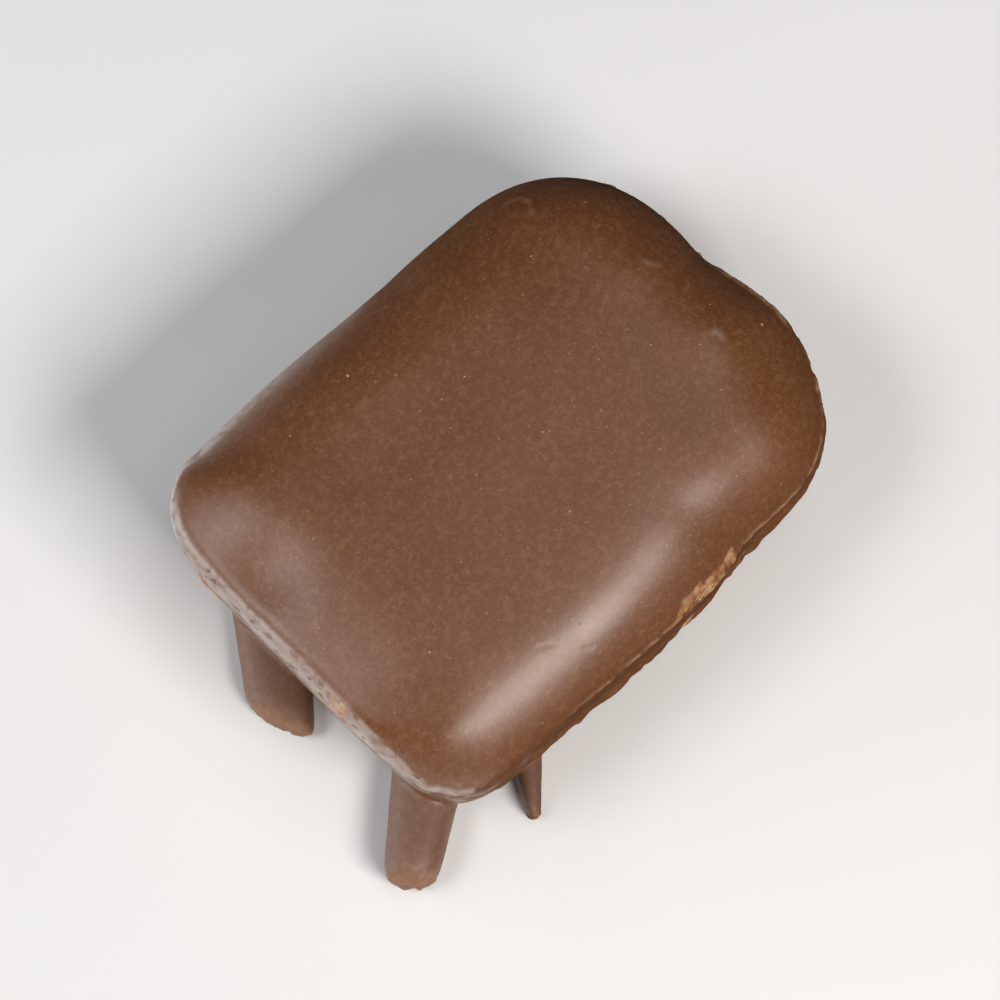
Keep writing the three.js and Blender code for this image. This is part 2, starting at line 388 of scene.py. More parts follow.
class CoatingLook(bpy.types.PropertyGroup):
    """Colours and finish of the milk chocolate"""

    milk: colour_property("Milk", "Main colour of the coating", 0.107, 0.0372, 0.0116)
    deep: colour_property("Deep", "Darker patches of the coating", 0.094, 0.0323, 0.0099)
    speck: colour_property("Speck", "Pale grains in the coating", 0.34, 0.2, 0.115)
    bare: colour_property("Bare", "Coating worn thin over coconut", 0.3, 0.14, 0.055)
    # Colour of the painted reflection on the near end and its edges, and of the greyer bloom of the tails.
    bloom_and_sheen: colour_property("Bloom", "Pale edge of the near end", 0.34, 0.3, 0.28)
    roughness: share_property("Roughness", "Middle of the satin finish", 0.4)
    dullness: share_property("Dullness", "Added roughness of the tails", 0.2)


class CoconutLook(bpy.types.PropertyGroup):
    """Colours of the coconut that shows, and the pale specks of it"""

    toasted: colour_property("Toasted", "Shreds browned at their ends", 0.24, 0.1, 0.035)
    cream: colour_property("Cream", "Pale flesh of the shreds", 0.42, 0.28, 0.165)
    dust: colour_property("Dust", "Pale specks on the coating", 0.33, 0.22, 0.145)
    speck_gap: length_property("Speck Gap", "Least distance between two specks", 1.6)
    smallest_speck: length_property("Smallest Speck", "Radius of the smallest speck", 0.03)
    largest_speck: length_property("Largest Speck", "Radius of the largest speck", 0.14)


class StageLook(bpy.types.PropertyGroup):
    """Floor, light and camera"""

    floor: colour_property("Floor", "Pale floor", 0.61, 0.62, 0.63)
    card: colour_property("Card", "White card that the near end mirrors", 0.9, 0.9, 0.9)
    azimuth: angle_property("Azimuth", "Turn of the camera round the chew", -44)
    elevation: angle_property("Elevation", "Height of the camera over the horizon", 75)
    field: length_property("Field", "Width of the view at the chew", 62)
    distance: length_property("Distance", "From the camera to the middle of the chew", 330)
    key: power_property("Key", "Power of the light at the right", 1.9)
    key_colour: colour_property("Key Colour", "Colour of the light at the right", 1.0, 0.93, 0.87)
    side: power_property("Side", "Power of the low light in front", 0.2)
    low: power_property("Low", "Power of the low light at the near end", 1.55)
    fill: power_property("Fill", "Power of the light over the near end", 0.66)
    overhead: power_property("Overhead", "Power of the light over the chew", 0.41)
    sky: share_property("Sky", "Brightness of the white surroundings", 0.02)


# The form of the chew, in millimetres

def form_of(sizes):
    """The sizes as plain numbers, lengths in millimetres"""
    form = SimpleNamespace(fullness=sizes.fullness, lean_power=sizes.lean_power, seed=sizes.seed)
    for name in sizes.__annotations__:
        if not hasattr(form, name):
            setattr(form, name, getattr(sizes, name) / MM)
    form.middle = form.height / 2
    return form


def between(first, second, share):
    return first + (second - first) * share


def ease(value, low, high):
    """0 at low, 1 at high, smooth between"""
    share = np.clip((value - low) / (high - low), 0, 1)
    return share * share * (3 - 2 * share)


def rounding(form, first, second):
    return (first ** form.fullness + second ** form.fullness) ** (1 / form.fullness)


def soft_max(first, second, blend):
    share = np.clip(0.5 + 0.5 * (first - second) / blend, 0, 1)
    return between(second, first, share) + blend * share * (1 - share)


def soft_min(first, second, blend):
    return -soft_max(-first, -second, blend)


def top_height(form, x, y):
    out = (2 * x / form.length) ** 2 + (2 * y / form.width) ** 2
    towards_end = np.maximum(-2 * x / form.length - NEAR_FALL_FROM, 0) / (1 - NEAR_FALL_FROM)
    height = form.height - form.crown * out / 2 - form.near_fall * towards_end ** 2
    for swell_x, swell_y, reach, swell in TOP_SWELLS:
        height = height + swell * np.exp(-((x - swell_x) ** 2 + (y - swell_y) ** 2) / reach ** 2)
    return height


def corner_radius(form, x, y):
    """The radius of the corner that a point is nearest to"""
    far = ease(2 * x / form.length, -CORNER_BLEND, CORNER_BLEND)
    left = ease(2 * y / form.width, -CORNER_BLEND, CORNER_BLEND)
    near_radius = between(CORNERS.near_right, CORNERS.near_left, left)
    far_radius = between(CORNERS.far_right, CORNERS.far_left, left)
    return between(near_radius, far_radius, far)


def shoulder_radius(form, x, y):
    near = ease(-2 * x / form.length, *NEAR_SHOULDER)
    left = ease(2 * y / form.width, *NEAR_SHOULDER_LEFT)
    at_end = between(form.corner_shoulder_radius, form.near_shoulder_radius, left)
    return between(form.shoulder_radius, at_end, near)


def wall_relief(angle):
    relief = np.zeros_like(angle)
    for count, height, start in WALL_WAVES:
        relief += height * np.sin(count * angle + start)
    for bump_angle, reach, height in WALL_BUMPS:
        relief += height * np.exp(-((np.degrees(angle) - bump_angle) / reach) ** 2)
    return relief


def outside_outline(form, x, y, z, radius, growth):
    """How far a point lies outside an outline like that of the walls, seen from above"""
    lean = form.wall_lean * np.maximum(1 - z / form.girdle, 0) ** form.lean_power
    half_length = form.length / 2 - form.end_bow * (2 * y / form.width) ** 2 - lean + growth
    half_width = form.width / 2 - form.side_bow * (2 * x / form.length) ** 2 - lean + growth
    past_x = np.maximum(np.abs(x) - half_length + radius, 0)
    past_y = np.maximum(np.abs(y) - half_width + radius, 0)
    return rounding(form, past_x, past_y) - radius - wall_relief(np.arctan2(y, x))


def outside_shoulder(form, x, y, z, radius):
    """How far a point lies outside the line where the shoulder ends"""
    corner = corner_radius(form, x, y)
    softer = np.maximum(corner, radius)
    growth = (softer - corner) * (1 - 2 ** (-1 / form.fullness))
    return outside_outline(form, x, y, z, softer, growth) - form.rim_overhang


def block_field(form, x, y, z):
    """Distance from the skin of the coated block, negative inside"""
    outside = outside_outline(form, x, y, z, corner_radius(form, x, y), 0)
    radius = shoulder_radius(form, x, y)
    past_rim = np.maximum(outside_shoulder(form, x, y, z, radius) + radius, 0)
    past_top = np.maximum(z - top_height(form, x, y) + radius, 0)
    upper = soft_max(rounding(form, past_rim, past_top) - radius, outside, form.rim_softness)
    past_wall = np.maximum(outside + form.heel_radius, 0)
    past_base = np.maximum(form.heel_radius - z, 0)
    lower = rounding(form, past_wall, past_base) - form.heel_radius
    return np.where(z > form.middle, upper, lower)


def tail_places(tail, x, y):
    """Places along and across a tail"""
    turn = math.radians(tail.heading)
    along = (x - tail.x) * math.cos(turn) + (y - tail.y) * math.sin(turn)
    across = (y - tail.y) * math.cos(turn) - (x - tail.x) * math.sin(turn)
    return along, across


def tail_field(tail, x, y, z):
    """Distance from the skin of a tail, about true near it"""
    along, across = tail_places(tail, x, y)
    half_width = between(tail.root, tail.tip, np.clip(along / tail.length, 0, 1)) / 2
    from_middle = 2 * (along + tail.skew * across) / tail.length - 1
    up = (z / tail.height - TAIL_WIDEST_AT) / (1 - TAIL_WIDEST_AT)
    total = np.abs(from_middle) ** TAIL_POWERS.along
    total += np.abs(across / half_width) ** TAIL_POWERS.across
    total += np.abs(up) ** TAIL_POWERS.up
    skin = (total ** (1 / TAIL_POWERS.across) - 1) * half_width
    return np.maximum(skin, -z)


def chew_field(form, points):
    """Distance from the skin of the block and its tails"""
    x, y, z = points[..., 0], points[..., 1], points[..., 2]
    field = block_field(form, x, y, z)
    for tail in TAILS:
        field = soft_min(field, tail_field(tail, x, y, z), form.tail_fillet)
    return np.maximum(field, -z)


def slope(form, points, step=0.02):
    """The way out of the chew at each point, and how fast the field grows that way"""
    sides = []
    for axis in range(3):
        shift = np.zeros(3)
        shift[axis] = step
        sides.append((chew_field(form, points + shift) - chew_field(form, points - shift)) / (2 * step))
    rise = np.stack(sides, axis=-1)
    speed = np.linalg.norm(rise, axis=-1, keepdims=True)
    return rise / speed, speed[..., 0]


# The mesh of the skin

def grid_of(form, low, high):
    """Grid points round a box, with room for a cell or two outside it"""
    step = form.grid_step
    counts = np.ceil((high - low) / step).astype(int) + 2 * GRID_ROOM + 1
    start = low - GRID_ROOM * step
    axes = [start[k] + step * np.arange(counts[k]) for k in range(3)]
    return np.stack(np.meshgrid(*axes, indexing="ij"), axis=-1), start


def skin_net(values, start, step):
    """Corners and four-sided faces of the surface where a field on a grid is zero"""
    inside = values < 0
    cells = tuple(n - 1 for n in values.shape)
    totals = np.zeros((int(np.prod(cells)), 3))
    counts = np.zeros(int(np.prod(cells)))
    rings = []
    for axis in range(3):
        one, two = (axis + 1) % 3, (axis + 2) % 3
        first = np.moveaxis(inside, axis, 0)[:-1]
        second = np.moveaxis(inside, axis, 0)[1:]
        edges = np.argwhere(np.moveaxis(first != second, 0, axis))
        ends = edges.copy()
        ends[:, axis] += 1
        before, after = values[tuple(edges.T)], values[tuple(ends.T)]
        places = edges.astype(float)
        places[:, axis] += before / (before - after)
        ring = []
        for shift_one, shift_two in ((1, 1), (0, 1), (0, 0), (1, 0)):
            cell = edges.copy()
            cell[:, one] -= shift_one
            cell[:, two] -= shift_two
            flat = np.ravel_multi_index(tuple(cell.T), cells)
            ring.append(flat)
            counts += np.bincount(flat, minlength=len(counts))
            for k in range(3):
                totals[:, k] += np.bincount(flat, weights=places[:, k], minlength=len(counts))
        ring = np.stack(ring, axis=1)
        leaving = inside[tuple(edges.T)]
        ring[~leaving] = ring[~leaving][:, ::-1]
        rings.append(ring)
    used = counts > 0
    numbers = np.cumsum(used) - 1
    corners = start + step * totals[used] / counts[used][:, None]
    return corners, numbers[np.concatenate(rings)]


def settle(form, corners, rounds=4):
    """Moves each corner onto the skin"""
    for _ in range(rounds):
        way, speed = slope(form, corners)
        move = chew_field(form, corners) / speed
        corners = corners - way * np.clip(move, -form.grid_step, form.grid_step)[:, None]
    return corners


# Places on the walls and the top

def unit(vectors):
    return vectors / np.linalg.norm(vectors, axis=-1, keepdims=True)


def halved(near, far, outside):
    """The farthest places that aren't outside"""
    for _ in range(HALVINGS):
        place = (near + far) / 2
        out = outside(place)
        near, far = np.where(out, near, place), np.where(out, place, far)
    return near


def wall_points(form, angles, heights):
    """Points of the walls at angles seen from above and at heights"""
    turns = np.radians(np.asarray(angles, float))
    heights = np.asarray(heights, float)
    ways = unit(np.stack([form.length * np.cos(turns), form.width * np.sin(turns)], axis=-1))
    x, y = ways[..., 0], ways[..., 1]
    reach = halved(
        np.zeros_like(heights), np.full_like(heights, form.length),
        lambda reach: block_field(form, x * reach, y * reach, heights) >= 0,
    )
    return np.stack([x * reach, y * reach, heights], axis=-1)


def on_top(form, places):
    """Points of the top over places of the base"""
    x, y = np.asarray(places, float).T
    height = halved(
        np.full_like(x, form.middle), np.full_like(x, 2 * form.height),
        lambda height: block_field(form, x, y, height) >= 0,
    )
    return np.column_stack([x, y, height])


def wall_ways(form, angles, heights, degrees=2.0, rise=0.4):
    """At points of the walls, the level way along the wall and the way out of it"""
    angles, heights = np.asarray(angles, float), np.asarray(heights, float)
    level = unit(wall_points(form, angles + degrees, heights) - wall_points(form, angles - degrees, heights))
    upward = unit(wall_points(form, angles, heights + rise) - wall_points(form, angles, heights - rise))
    return level, unit(np.cross(level, upward))


def rim_heights(form, angles, give=0.12, levels=80):
    """Height of the edge at the rim, the highest level at which the wall still reaches about farthest"""
    every_angle, every_height = np.meshgrid(
        angles, np.linspace(form.middle, form.height, levels), indexing="ij"
    )
    reach = np.linalg.norm(wall_points(form, every_angle, every_height)[..., :2], axis=-1)
    full = reach >= reach.max(axis=1, keepdims=True) - give
    return np.where(full, every_height, 0).max(axis=1)


def tipped(level, outward, tips):
    """The level ways turned about the ways out"""
    turns = np.radians(tips)[:, None]
    return level * np.cos(turns) + np.cross(outward, level) * np.sin(turns)


# Relief of the skin

def ripple(points, wavelength, draw, waves=9, vary=(0.8, 1.25)):
    """Smooth waves that run every way, between about -1 and 1"""
    ways = unit(draw.normal(size=(waves, 3))) * draw.uniform(*vary, (waves, 1))
    starts = draw.uniform(0, 2 * math.pi, waves)
    phase = points @ ways.T * (2 * math.pi / wavelength) + starts
    return np.sin(phase).sum(axis=1) / math.sqrt(waves)


def ripples(points, table, draw):
    return sum(height * ripple(points, wavelength, draw) for wavelength, height in table)


def highest(reliefs):
    return np.maximum.reduce(list(reliefs))


def hump(gap):
    """1 in the middle, falling to 0 at a gap of 1"""
    return np.maximum(1 - gap ** 2, 0) ** HUMP_POWER


def ridge(points, start, end, half_width):
    """1 along a straight line, falling to 0 at half_width from it"""
    line = end - start
    near = np.linalg.norm(points - (start + end) / 2, axis=1) < np.linalg.norm(line) / 2 + half_width
    height = np.zeros(len(points))
    close = points[near]
    share = np.clip((close - start) @ line / (line @ line), 0, 1)
    gap = np.linalg.norm(close - start - share[:, None] * line, axis=1)
    height[near] = hump(gap / half_width)
    return height


def path_relief(points, path, half_width, strengths=None):
    """Ridges along every step of a path"""
    strengths = np.ones(len(path)) if strengths is None else strengths
    steps = zip(path[:-1], path[1:], strengths)
    return highest(strength * ridge(points, start, end, half_width) for start, end, strength in steps)


def dent(points, place, radius):
    return hump(np.linalg.norm(points - place, axis=1) / radius)


def spread(kind):
    """Shreds of one kind, spread over the walls by fractions that never repeat"""
    numbers = np.arange(kind.first, kind.first + kind.count)

    def spaced(fraction, low, high):
        return between(low, high, np.mod(numbers * fraction, 1.0))

    return SimpleNamespace(
        angle=spaced(SHRED_FRACTIONS.angle, *kind.angles),
        height=spaced(SHRED_FRACTIONS.height, *kind.heights),
        length=spaced(SHRED_FRACTIONS.length, *kind.lengths),
        tip=spaced(SHRED_FRACTIONS.tilt, -kind.tilt, kind.tilt),
        width=np.full(kind.count, kind.width),
        proud=np.full(kind.count, kind.proud),
    )


def chips(form, draw):
    """Chips of the torn patch"""
    count = CHIPS.count
    angles = np.linspace(*CHIPS.angles, count) + draw.uniform(-CHIPS.stray, CHIPS.stray, count)
    return SimpleNamespace(
        angle=angles,
        height=rim_heights(form, angles) + draw.uniform(*CHIPS.heights, count),
        length=draw.uniform(*CHIPS.lengths, count),
        width=draw.uniform(*CHIPS.widths, count),
        proud=draw.uniform(*CHIPS.proud, count),
        tip=draw.uniform(-CHIPS.tip, CHIPS.tip, count),
    )


def shred_relief(form, points, shreds):
    """How far shreds under the coating lift it, and where they lie"""
    places = wall_points(form, shreds.angle, shreds.height)
    level, outward = wall_ways(form, shreds.angle, shreds.height)
    ways = tipped(level, outward, shreds.tip)
    covers = []
    for place, way, length, width in zip(places, ways, shreds.length, shreds.width):
        half = way * (length - width) / 2
        covers.append(ridge(points, place - half, place + half, width * SHRED_REACH))
    return highest(cover * proud for cover, proud in zip(covers, shreds.proud)), highest(covers)


def wall_pit_relief(form, points, pits, draw):
    angles = draw.uniform(*pits.angles, pits.count)
    heights = draw.uniform(*pits.heights, pits.count)
    radii = draw.uniform(*pits.radii, pits.count)
    places = wall_points(form, angles, heights)
    return highest(pits.depth * dent(points, place, radius) for place, radius in zip(places, radii))


def lip_pit_relief(form, points, pit):
    height = rim_heights(form, [pit.angle]) + pit.height
    place = wall_points(form, [pit.angle], height)[0]
    return pit.depth * dent(points, place, pit.radius)


def edge_relief(form, points, edge, draw):
    """A fine uneven edge along the rim, which fades at both its ends"""
    angles = np.linspace(*edge.angles, edge.steps)
    heights = rim_heights(form, angles) + edge.raised
    heights += draw.uniform(-edge.wander, edge.wander, edge.steps)
    share = np.linspace(0, 1, edge.steps)
    fade = np.clip(np.minimum(share, 1 - share) / EDGE_FADE, 0, 1)
    fade *= draw.uniform(*EDGE_STRENGTHS, edge.steps)
    return path_relief(points, wall_points(form, angles, heights), edge.half_width, fade)


def add_edge(form, points, edge, relief, marks, draw):
    """Adds a fine edge to the relief and to the marks"""
    line = edge_relief(form, points, edge, draw)
    relief += edge.height * line
    relief += line * ripples(points, edge.ripples, draw)
    marks[edge.mark] = np.maximum(marks[edge.mark], edge.strength * line)


def fold_relief(form, points, fold):
    angles = np.linspace(*fold.angles, FOLD_STEPS)
    heights = np.linspace(*fold.heights, FOLD_STEPS)
    heights += FOLD_SWAY * np.sin(np.arange(FOLD_STEPS) * FOLD_SWAY_TURN)
    return path_relief(points, wall_points(form, angles, heights), fold.half_width)


def top_marks(form, points):
    """The scratch, the curl and the dabs, and how much painted highlight they get"""
    relief, pale = np.zeros((2, len(points)))
    for mark in TOP_MARKS:
        line = path_relief(points, on_top(form, mark.path), mark.half_width)
        relief += mark.height * line
        pale += mark.pale * line
    return relief, pale


def painted_reflection_strip(points, outward, draw):
    """Where the near end's wall, its left corner and the start of the left wall take a painted reflection"""
    strip = PAINTED_REFLECTION_STRIP
    x, y, z = points.T
    level = outward[:, 1] / np.maximum(np.hypot(outward[:, 0], outward[:, 1]), TINY)
    at_end = ease(-outward[:, 0], *strip.facing)
    at_left = ease(outward[:, 1], *strip.facing) * ease(-x, *strip.runs_out)
    less = strip.right_less * ease(-y, *strip.right) + strip.left_less * ease(level, *strip.left)
    upright = 1 - ease(outward[:, 2] + less, *strip.upwards)
    lower_end = ease(z + ripples(points, STRIP_RIPPLES, draw), *strip.heights)
    more = 1 + strip.corner_more * ease(level, *strip.corner)
    return np.maximum(at_end, at_left) * upright * lower_end * more


def broken_tip(points, tail):
    """1 at the broken end of a tail"""
    along, across = tail_places(tail, points[:, 0], points[:, 1])
    beside = (np.abs(across) < tail.root) & (points[:, 2] < tail.height + TAIL_BREAK_OVER)
    return beside * ease((along + tail.skew * across) / tail.length, *TAIL_BREAK)


def skin_relief(form, points, outward):
    """How far each corner of the skin is moved out, and marks of what lies where"""
    draw = np.random.default_rng(form.seed)
    height = points[:, 2]
    upward = outward[:, 2]
    wall = (1 - ease(upward, *WALLS_END)) * ease(height, *CRAGS_BEGIN)
    near_end = ease(-2 * points[:, 0] / form.length, *SMOOTH_END)
    below_rim = 1 - ease(height, *CRAGS_END)
    tips = highest(broken_tip(points, tail) for tail in TAILS)
    relief = ripples(points, SKIN_RIPPLES, draw)
    relief += wall * (1 - SMOOTHER * near_end) * below_rim * ripples(points, WALL_RIPPLES, draw)
    relief += tips * ripples(points, TIP_RIPPLES, draw)
    large, large_cover = shred_relief(form, points, spread(LARGE_SHREDS))
    fine, fine_cover = shred_relief(form, points, spread(FINE_SHREDS))
    relief += below_rim * np.maximum(large, fine)
    torn = np.zeros(len(points))
    for pieces in (FLAKES, chips(form, draw)):
        lift, cover = shred_relief(form, points, pieces)
        relief += lift
        torn = np.maximum(torn, cover)
    for fold in FOLDS:
        relief += fold.height * fold_relief(form, points, fold)
    # The pale and cream marks carry painted light: a painted reflection on the near end and painted
    # highlights on edges and marks.
    marks = {"cream": np.zeros(len(points)), "pale": painted_reflection_strip(points, outward, draw)}
    for edge in RIM_EDGES:
        add_edge(form, points, edge, relief, marks, draw)
    lift, pale = top_marks(form, points)
    relief += lift
    pits = [wall_pit_relief(form, points, pits, draw) for pits in WALL_PITS]
    pits += [lip_pit_relief(form, points, pit) for pit in LIP_PITS]
    depth = highest(pits)
    add_edge(form, points, FAR_LIP, relief, marks, draw)
    relief -= depth
    relief *= ease(height, *RELIEF_BEGINS)
    marks["pale"] = np.maximum(marks["pale"], pale) * (1 - ease(depth, *PIT_BARE))
    marks["dull"] = ease(block_field(form, *points.T), *DULL_FROM)
    marks["coconut"] = below_rim * np.maximum(LARGE_SHOWS * large_cover, FINE_SHOWS * fine_cover)
    marks["torn"] = torn
    marks["tips"] = tips
    marks["top"] = ease(upward, *TOP_BEGINS)
    return relief, marks


def chew_skin(form, box):
    """Corners, faces and marks of the whole skin"""
    low, high = (np.array(corner) / MM for corner in box)
    grid, start = grid_of(form, low, high)
    corners, faces = skin_net(chew_field(form, grid), start, form.grid_step)
    corners = settle(form, corners)
    outward, _ = slope(form, corners)
    relief, marks = skin_relief(form, corners, outward)
    corners = corners + outward * relief[:, None]
    corners[corners[:, 2] < FLAT_BELOW, 2] = 0
    return corners, faces, marks


# Meshes

def linked(name, data):
    made = bpy.data.objects.new(name, data)
    bpy.context.collection.objects.link(made)
    return made


def mesh_object(name, corners, faces, marks=None):
    """A smooth mesh object at the origin from arrays in millimetres"""
    mesh = bpy.data.meshes.new(name)
    mesh.from_pydata((corners * MM).tolist(), [], faces.tolist())
    for label, values in (marks or {}).items():
        kind, field = ("FLOAT", "value") if values.ndim == 1 else ("FLOAT_VECTOR", "vector")
        mark = mesh.attributes.new(label, kind, "POINT")
        mark.data.foreach_set(field, values.astype(np.float32).ravel())
    mesh.shade_smooth()
    return linked(name, mesh)


def join_base(mesh):
    """Makes the flat base one face with a sharp border"""
    editing = bmesh.new()
    editing.from_mesh(mesh)
    flat = [face for face in editing.faces if all(corner.co.z <= 0 for corner in face.verts)]
    for face in bmesh.ops.dissolve_faces(editing, faces=flat, use_verts=True)["region"]:
        face.smooth = False
        for edge in face.edges:
            edge.smooth = False
    editing.to_mesh(mesh)
    editing.free()


def coconut_seeds(form):
    """Places, ways and sizes of the bits of coconut that show"""
    draw = np.random.default_rng(form.seed + 1)
    rows = []
    for kind in [*RIM_BITS, WALL_BITS]:
        count = kind.count
        angles = np.linspace(*kind.angles, count) + draw.uniform(-BIT_STRAY, BIT_STRAY, count)
        heights = draw.uniform(*kind.heights, count)
        if kind is not WALL_BITS:
            heights = heights + rim_heights(form, angles)
        level, outward = wall_ways(form, angles, heights)
        along = tipped(level, outward, draw.uniform(-kind.tip, kind.tip, count))
        widths = draw.uniform(*kind.widths, count)
        sizes = np.column_stack([draw.uniform(*kind.lengths, count), widths, BIT_FLATNESS * widths])
        places = wall_points(form, angles, heights) - outward * BIT_SUNK * sizes[:, 2:]
        rows.append((places, outward, along, sizes))
    places, outward, along, sizes = (np.concatenate(column) for column in zip(*rows))
    marks = {"outward": outward, "along": along, "size": sizes * MM}
    return mesh_object("coconut_seeds", places, np.empty((0, 3), int), marks)


# Node trees

FLOAT = "NodeSocketFloat"
VECTOR = "NodeSocketVector"
GEOMETRY = "NodeSocketGeometry"
NUMBERS = {float: FLOAT, int: "NodeSocketInt"}


def fill(tree, made, inputs):
    """Sets or links inputs of a node"""
    for label, value in inputs.items():
        if isinstance(value, bpy.types.NodeSocket):
            tree.links.new(value, made.inputs[label])
        else:
            made.inputs[label].default_value = value


def node(tree, kind, inputs=None, **settings):
    """A new node with its settings, and with its inputs set or linked"""
    made = tree.nodes.new(kind)
    for label, value in settings.items():
        setattr(made, label, value)
    fill(tree, made, inputs or {})
    return made


def result(tree, kind, inputs=None, output=0, **settings):
    """One output of a new node"""
    return node(tree, kind, inputs, **settings).outputs[output]


def node_group(name, kind, inputs, outputs):
    """An empty group with named inputs, each given by its number or its type, and named outputs"""
    group = bpy.data.node_groups.new(name, kind)
    for label, value in inputs.items():
        numeric = type(value) in NUMBERS
        socket_type = NUMBERS[type(value)] if numeric else value
        socket = group.interface.new_socket(label, in_out="INPUT", socket_type=socket_type)
        if numeric:
            socket.default_value = value
    for label, socket_type in outputs.items():
        group.interface.new_socket(label, in_out="OUTPUT", socket_type=socket_type)
    return group, group.nodes.new("NodeGroupInput").outputs, group.nodes.new("NodeGroupOutput").inputs


def rgba(colour):
    return (*colour, 1.0)


def mix_colour(tree, share, first, second):
    return result(tree, "ShaderNodeMix", {0: share, 6: first, 7: second}, 2, data_type="RGBA")


def scale_to(tree, value, from_low, from_high, to_low=0.0, to_high=1.0):
    return result(tree, "ShaderNodeMapRange", {
        "Value": value, "From Min": from_low, "From Max": from_high, "To Min": to_low, "To Max": to_high,
    })


def share_to(tree, share, low, high):
    return scale_to(tree, share, 0.0, 1.0, low, high)


def arithmetic(tree, operation, first, second):
    return result(tree, "ShaderNodeMath", {0: first, 1: second}, operation=operation)


def vector_math(tree, operation, inputs):
    return result(tree, "ShaderNodeVectorMath", inputs, operation=operation)


def wobble(tree, place, scale, reach):
    """Small shifts every way"""
    noise = result(tree, "ShaderNodeTexNoise", {"Vector": place, "Scale": scale, "Detail": 1.0}, "Color")
    centred = vector_math(tree, "ADD", {0: noise, 1: (-0.5, -0.5, -0.5)})
    return vector_math(tree, "SCALE", {0: centred, "Scale": reach})


def random_share(tree, seed, number):
    """A number between 0 and 1 for each point, one series for each number"""
    own = arithmetic(tree, "ADD", seed, number)
    return result(tree, "FunctionNodeRandomValue", {"Seed": own}, 1, data_type="FLOAT")


def stored(tree, label, kind="FLOAT_VECTOR"):
    return result(tree, "GeometryNodeInputNamedAttribute", {"Name": label}, data_type=kind)


def finished(tree, placed, material, made, crumple=None):
    """Ends a tree: real meshes, crumpled or not, with smooth shading and a material"""
    real = result(tree, "GeometryNodeRealizeInstances", {"Geometry": placed})
    if crumple:
        real = result(tree, "GeometryNodeSetPosition", {"Geometry": real, "Offset": crumple})
    smooth = result(tree, "GeometryNodeSetShadeSmooth", {"Geometry": real})
    coloured = result(tree, "GeometryNodeSetMaterial", {"Geometry": smooth, "Material": material})
    tree.links.new(coloured, made["Geometry"])


def coconut_tree(material):
    """Tapered, arched and crumpled shreds on seed points"""
    tree, given, made = node_group(
        "Coconut Shreds", "GeometryNodeTree",
        {"Geometry": GEOMETRY, "Sides": 6, "Arch": 0.5, "Tip": 0.35, "Taper": 3.0, "Crumple": 0.3 * MM,
         "Crumple Scale": 1600.0},
        {"Geometry": GEOMETRY},
    )
    crest = result(tree, "ShaderNodeCombineXYZ", {"Z": given["Arch"]})
    arch = result(tree, "GeometryNodeCurveQuadraticBezier", {
        "Resolution": given["Sides"], "Start": (-0.5, 0.0, 0.0), "Middle": crest, "End": (0.5, 0.0, 0.0),
    })
    along = result(tree, "GeometryNodeSplineParameter", output="Factor")
    from_middle = arithmetic(tree, "ABSOLUTE", share_to(tree, along, -1.0, 1.0), 0.0)
    thickness = share_to(tree, arithmetic(tree, "POWER", from_middle, given["Taper"]), 1.0, given["Tip"])
    profile = result(tree, "GeometryNodeCurvePrimitiveCircle", {"Resolution": given["Sides"], "Radius": 0.5})
    shred = result(tree, "GeometryNodeCurveToMesh", {
        "Curve": arch, "Profile Curve": profile, "Scale": thickness, "Fill Caps": True,
    })
    turn = result(tree, "FunctionNodeAxesToRotation", {
        "Primary Axis": stored(tree, "outward"), "Secondary Axis": stored(tree, "along"),
    }, primary_axis="Z", secondary_axis="X")
    placed = result(tree, "GeometryNodeInstanceOnPoints", {
        "Points": given["Geometry"], "Instance": shred, "Rotation": turn, "Scale": stored(tree, "size"),
    })
    place = result(tree, "GeometryNodeInputPosition")
    crumple = wobble(tree, place, given["Crumple Scale"], given["Crumple"])
    finished(tree, placed, material, made, crumple)
    return tree


def specks_tree(material):
    """Flat uneven crumbs spread over the top of the coating, most of them small"""
    tree, given, made = node_group(
        "Pale Specks", "GeometryNodeTree",
        {"Geometry": GEOMETRY, "Gap": 1.0 * MM, "Density": 100000.0, "Smallest": 0.1 * MM,
         "Largest": 0.2 * MM, "Skew": 2.5, "Narrowest": 0.45, "Flatness": 0.35, "Seed": 1},
        {"Geometry": GEOMETRY},
    )
    scattered = node(tree, "GeometryNodeDistributePointsOnFaces", {
        "Mesh": given["Geometry"], "Distance Min": given["Gap"], "Density Max": given["Density"],
        "Density Factor": stored(tree, "top", "FLOAT"), "Seed": given["Seed"],
    }, distribute_method="POISSON").outputs
    lot = arithmetic(tree, "POWER", random_share(tree, given["Seed"], 1), given["Skew"])
    radius = share_to(tree, lot, given["Smallest"], given["Largest"])
    narrow = share_to(tree, random_share(tree, given["Seed"], 2), given["Narrowest"], 1.0)
    scale = result(tree, "ShaderNodeCombineXYZ", {
        "X": radius, "Y": arithmetic(tree, "MULTIPLY", radius, narrow),
        "Z": arithmetic(tree, "MULTIPLY", radius, given["Flatness"]),
    })
    turn = result(tree, "ShaderNodeCombineXYZ", {
        "Z": share_to(tree, random_share(tree, given["Seed"], 3), 0.0, 2 * math.pi),
    })
    rotation = result(tree, "FunctionNodeRotateRotation", {
        "Rotation": scattered["Rotation"], "Rotate By": turn,
    }, rotation_space="LOCAL")
    crumb = result(tree, "GeometryNodeMeshIcoSphere", {"Radius": 1.0, "Subdivisions": 1}, "Mesh")
    placed = result(tree, "GeometryNodeInstanceOnPoints", {
        "Points": scattered["Points"], "Instance": crumb, "Rotation": rotation, "Scale": scale,
    })
    finished(tree, placed, material, made)
    return tree


